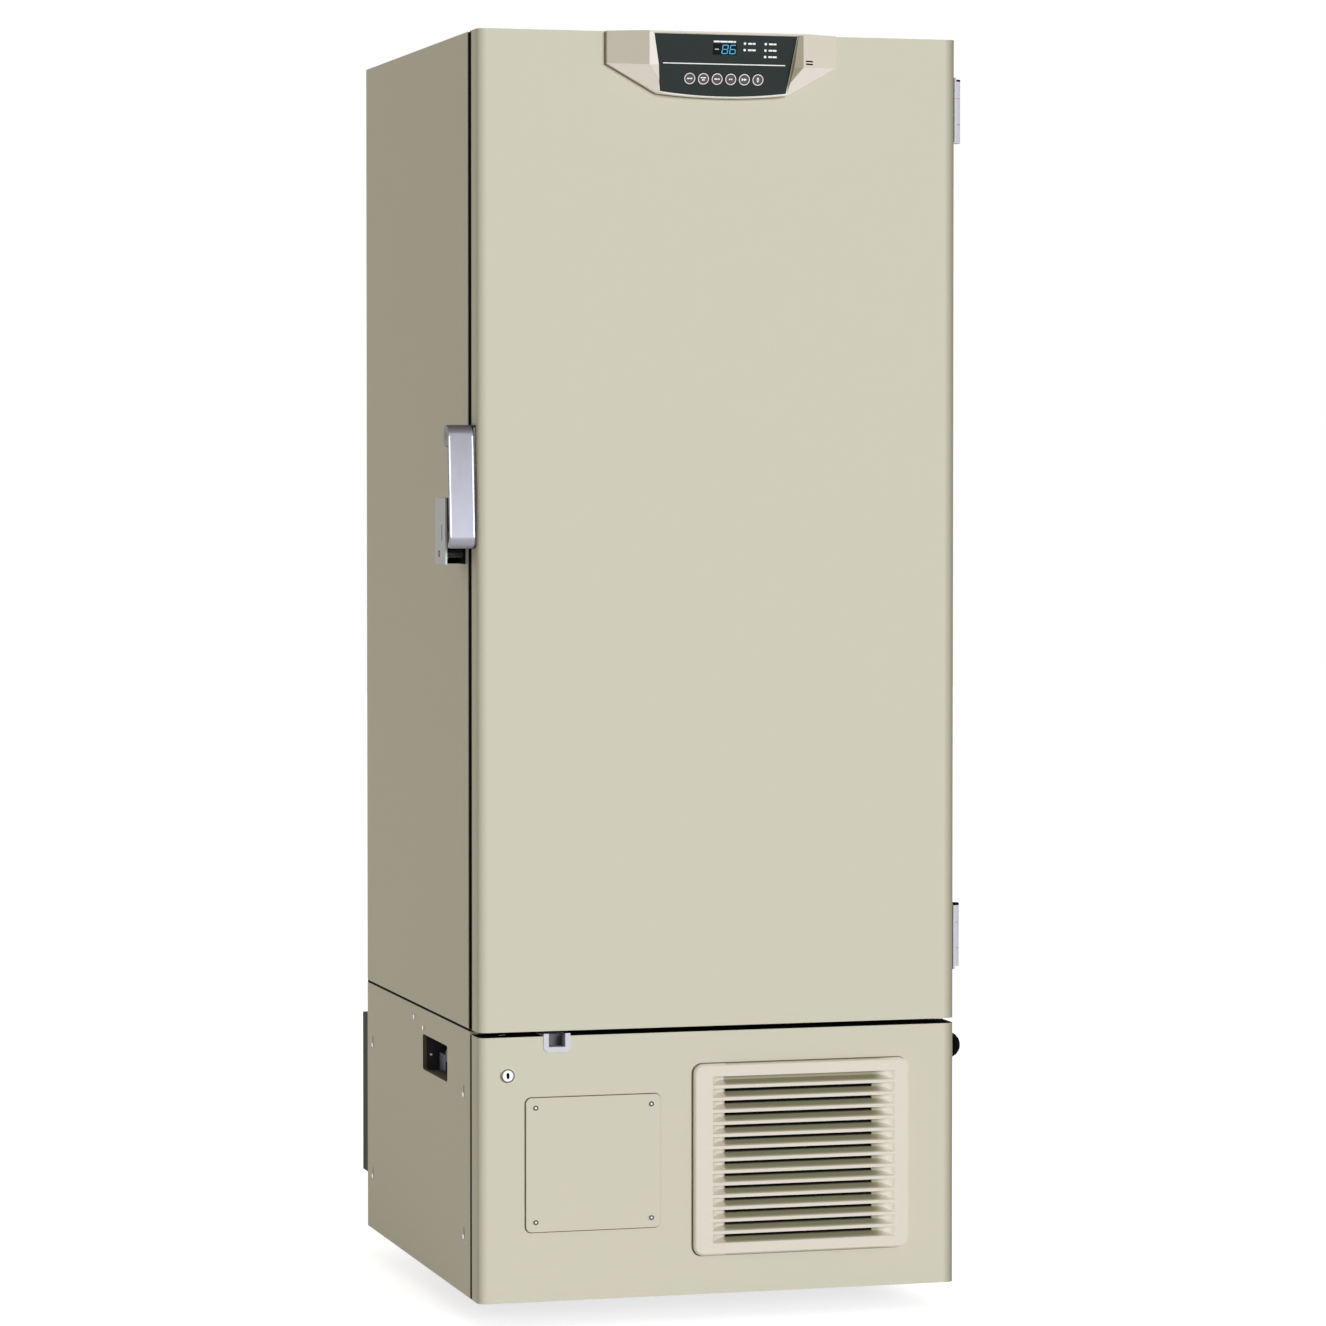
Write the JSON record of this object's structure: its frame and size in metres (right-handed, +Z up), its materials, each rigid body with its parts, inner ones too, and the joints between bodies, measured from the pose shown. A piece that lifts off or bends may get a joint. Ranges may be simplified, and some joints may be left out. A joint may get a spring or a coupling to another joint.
{
  "type": "ultra low temperature freezer",
  "caption": "Upright ultra low temperature laboratory freezer with a hinged insulated outer door, inner doors, lever latch, control panel and a louvred machine compartment.",
  "frame": {"origin": "middle of the whole footprint on the floor", "axes": "+X to the right as seen from the front, +Y to the back, +Z up; the door faces -Y"},
  "size_m": [0.851, 0.89, 1.994],
  "materials": {
    "body_paint": "satin powder coat",
    "housing_plastic": "fine matte",
    "recess_plastic": "fine matte",
    "dark_face": "satin film",
    "display_glass": "smooth",
    "lamp": "smooth",
    "key_cap": "matte",
    "lever_metal": "satin",
    "bright_steel": "brushed",
    "black_rubber": "matte",
    "roller_plastic": "matte",
    "foam": "rigid foam",
    "liner_paint": "smooth",
    "strip_plastic": "matte",
    "inner_door_plastic": "fine matte",
    "filter_mesh": "open mesh",
    "chrome_trim": "polished",
    "dark_paint": "satin",
    "fin_metal": "mill finish",
    "black_paint": "satin",
    "wheel_tread": "matte"
  },
  "bodies": {
    "cabinet": {"cabinet_hinges": "bright_steel", "strike_bracket": "bright_steel", "cabinet_shell": "body_paint", "cabinet_insulation": "foam", "inner_liner": "liner_paint", "breaker_strip": "strip_plastic", "access_port": "strip_plastic", "shelves": "bright_steel", "inner_hinge_brackets": "bright_steel", "front_panel": "body_paint", "grille": "housing_plastic", "air_filter": "filter_mesh", "recorder_plate": "body_paint", "lock_body": "chrome_trim", "finger_recess": "recess_plastic", "base_frame": "dark_paint", "side_covers": "body_paint", "cover_screws": "chrome_trim", "rear_cover": "dark_paint", "power_inlet": "roller_plastic", "condenser": "fin_metal", "fan_shroud": "roller_plastic", "fan_motor": "fin_metal", "compressors": "black_paint", "electrical_box": "dark_paint", "switch_box": "roller_plastic", "side_bumper": "black_rubber"},
    "door": {"door_skin": "body_paint", "door_insulation": "foam", "door_inner_panel": "liner_paint", "door_gasket": "black_rubber", "control_housing": "housing_plastic", "display_panel": "dark_face", "display_module": "display_glass", "indicator_lamps": "lamp", "handle_base": "black_paint", "door_hinge_leaves": "bright_steel"},
    "lever": {"door_lever": "lever_metal"},
    "pawl": {"latch_pawl": "bright_steel"},
    "roller": {"strike_roller": "roller_plastic"},
    "lower_inner_door": {"lower_inner_door": "inner_door_plastic"},
    "upper_inner_door": {"upper_inner_door": "inner_door_plastic"},
    "lock_cylinder": {"lock_cylinder": "chrome_trim"},
    "lock_bolt": {"lock_bolt": "bright_steel"},
    "fan": {"fan_blade": "roller_plastic"},
    "rocker": {"breaker_rocker": "roller_plastic"},
    "key_1": {"key_1": "key_cap"},
    "key_2": {"key_2": "key_cap"},
    "key_3": {"key_3": "key_cap"},
    "key_4": {"key_4": "key_cap"},
    "key_5": {"key_5": "key_cap"},
    "key_6": {"key_6": "key_cap"},
    "left_fork": {"left_front_fork": "dark_paint"},
    "left_front_wheel": {"left_front_wheel": "wheel_tread"},
    "left_rear_wheel": {"left_rear_wheel": "wheel_tread"},
    "left_foot": {"left_foot": "black_rubber"},
    "right_fork": {"right_front_fork": "dark_paint"},
    "right_front_wheel": {"right_front_wheel": "wheel_tread"},
    "right_rear_wheel": {"right_rear_wheel": "wheel_tread"},
    "right_foot": {"right_foot": "black_rubber"}
  },
  "joints": [
    {"name": "door_swing", "type": "hinge", "parent": "cabinet", "child": "door", "pos_m": [0.4015, -0.352, 1.2], "axis": [0, 0, 1], "range_deg": [0, 120]},
    {"name": "lever_pull", "type": "hinge", "parent": "door", "child": "lever", "pos_m": [-0.3975, -0.378, 1.37294], "axis": [-1, 0, 0], "range_deg": [0, 40]},
    {"name": "pawl_lift", "type": "hinge", "parent": "door", "child": "pawl", "pos_m": [-0.3975, -0.372, 1.22794], "axis": [1, 0, 0], "range_deg": [0, 18]},
    {"name": "roller_spin", "type": "hinge", "parent": "cabinet", "child": "roller", "pos_m": [-0.3975, -0.318, 1.19194], "axis": [1, 0, 0], "continuous": true},
    {"name": "lower_inner_swing", "type": "hinge", "parent": "cabinet", "child": "lower_inner_door", "pos_m": [0.3095, -0.326, 0.886], "axis": [0, 0, 1], "range_deg": [0, 96]},
    {"name": "upper_inner_swing", "type": "hinge", "parent": "cabinet", "child": "upper_inner_door", "pos_m": [0.3095, -0.326, 1.57], "axis": [0, 0, 1], "range_deg": [0, 96]},
    {"name": "lock_turn", "type": "hinge", "parent": "cabinet", "child": "lock_cylinder", "pos_m": [-0.3375, -0.41, 0.3926], "axis": [0, 1, 0], "range_deg": [0, 90]},
    {"name": "bolt_rise", "type": "slide", "parent": "cabinet", "child": "lock_bolt", "axis": [0, 0, 1], "range_m": [0, 0.018]},
    {"name": "key_1_press", "type": "slide", "parent": "door", "child": "key_1", "axis": [0, 0.9806, 0.1961], "range_m": [0, 0.0006], "stiffness_N_per_m": 800},
    {"name": "key_2_press", "type": "slide", "parent": "door", "child": "key_2", "axis": [0, 0.9806, 0.1961], "range_m": [0, 0.0006], "stiffness_N_per_m": 800},
    {"name": "key_3_press", "type": "slide", "parent": "door", "child": "key_3", "axis": [0, 0.9806, 0.1961], "range_m": [0, 0.0006], "stiffness_N_per_m": 800},
    {"name": "key_4_press", "type": "slide", "parent": "door", "child": "key_4", "axis": [0, 0.9806, 0.1961], "range_m": [0, 0.0006], "stiffness_N_per_m": 800},
    {"name": "key_5_press", "type": "slide", "parent": "door", "child": "key_5", "axis": [0, 0.9806, 0.1961], "range_m": [0, 0.0006], "stiffness_N_per_m": 800},
    {"name": "key_6_press", "type": "slide", "parent": "door", "child": "key_6", "axis": [0, 0.9806, 0.1961], "range_m": [0, 0.0006], "stiffness_N_per_m": 800},
    {"name": "fan_spin", "type": "hinge", "parent": "cabinet", "child": "fan", "pos_m": [0.133, -0.295, 0.25145], "axis": [0, 1, 0], "continuous": true},
    {"name": "rocker_tip", "type": "hinge", "parent": "cabinet", "child": "rocker", "pos_m": [-0.3525, -0.11165, 0.3864], "axis": [0, 1, 0], "range_deg": [-10, 10]},
    {"name": "left_caster_swivel", "type": "hinge", "parent": "cabinet", "child": "left_fork", "pos_m": [-0.2825, -0.03, 0.09], "axis": [0, 0, 1], "continuous": true},
    {"name": "left_front_wheel_spin", "type": "hinge", "parent": "left_fork", "child": "left_front_wheel", "pos_m": [-0.2825, -0.008, 0.041], "axis": [1, 0, 0], "continuous": true},
    {"name": "left_rear_wheel_spin", "type": "hinge", "parent": "cabinet", "child": "left_rear_wheel", "pos_m": [-0.2825, 0.32, 0.038], "axis": [1, 0, 0], "continuous": true},
    {"name": "left_foot_turn", "type": "hinge", "parent": "cabinet", "child": "left_foot", "pos_m": [-0.2775, -0.145, 0.05], "axis": [0, 0, 1], "continuous": true},
    {"name": "right_caster_swivel", "type": "hinge", "parent": "cabinet", "child": "right_fork", "pos_m": [0.2875, -0.03, 0.09], "axis": [0, 0, 1], "continuous": true},
    {"name": "right_front_wheel_spin", "type": "hinge", "parent": "right_fork", "child": "right_front_wheel", "pos_m": [0.2875, -0.008, 0.041], "axis": [1, 0, 0], "continuous": true},
    {"name": "right_rear_wheel_spin", "type": "hinge", "parent": "cabinet", "child": "right_rear_wheel", "pos_m": [0.2875, 0.32, 0.038], "axis": [1, 0, 0], "continuous": true},
    {"name": "right_foot_turn", "type": "hinge", "parent": "cabinet", "child": "right_foot", "pos_m": [0.2825, -0.145, 0.05], "axis": [0, 0, 1], "continuous": true}
  ],
  "couplings": [
    {"joint": "pawl_lift", "follows": "lever_pull", "ratio": 0.45},
    {"joint": "lower_inner_swing", "follows": "door_swing", "ratio": 0.8},
    {"joint": "upper_inner_swing", "follows": "door_swing", "ratio": 0.8},
    {"joint": "lock_turn", "follows": "bolt_rise", "rad_per_m": 87.261}
  ]
}
